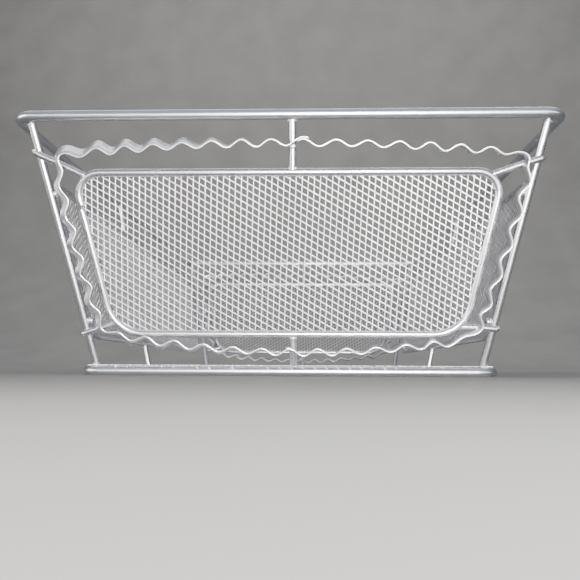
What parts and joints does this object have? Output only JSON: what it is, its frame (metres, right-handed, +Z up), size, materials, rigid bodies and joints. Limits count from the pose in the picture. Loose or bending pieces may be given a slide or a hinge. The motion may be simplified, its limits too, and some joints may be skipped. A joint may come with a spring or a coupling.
{
  "type": "wire mesh file basket",
  "caption": "Open tapered rectangular basket of welded wire with framed expanded-metal side panels, a mesh floor and a wavy strip round each end panel, for holding letters and folders.",
  "frame": {"origin": "centre of the footprint, on the surface the basket stands on", "axes": "+X across the basket, +Y along its length, +Z up; the front end wall faces -Y"},
  "size_m": [0.213, 0.37, 0.101],
  "materials": {
    "wire": "satin silver",
    "mesh": "satin silver",
    "strip": "satin silver"
  },
  "bodies": {
    "root": {"top_rim": "wire", "base_rim": "wire", "front_left_post": "wire", "front_right_post": "wire", "rear_left_post": "wire", "rear_right_post": "wire", "front_panel_frame": "wire", "front_panel_mesh": "mesh", "front_upper_bar": "wire", "front_lower_bar": "wire", "front_upper_stay_a": "wire", "front_upper_stay_b": "wire", "front_lower_stay_a": "wire", "front_lower_stay_b": "wire", "rear_panel_frame": "wire", "rear_panel_mesh": "mesh", "rear_upper_bar": "wire", "rear_lower_bar": "wire", "rear_upper_stay_a": "wire", "rear_upper_stay_b": "wire", "rear_lower_stay_a": "wire", "rear_lower_stay_b": "wire", "left_panel_frame": "wire", "left_panel_mesh": "mesh", "left_upper_bar": "wire", "left_lower_bar": "wire", "left_upper_stay_a": "wire", "left_upper_stay_b": "wire", "left_lower_stay_a": "wire", "left_lower_stay_b": "wire", "right_panel_frame": "wire", "right_panel_mesh": "mesh", "right_upper_bar": "wire", "right_lower_bar": "wire", "right_upper_stay_a": "wire", "right_upper_stay_b": "wire", "right_lower_stay_a": "wire", "right_lower_stay_b": "wire", "front_wavy_strip": "strip", "rear_wavy_strip": "strip", "floor_mesh": "mesh"}
  },
  "joints": []
}
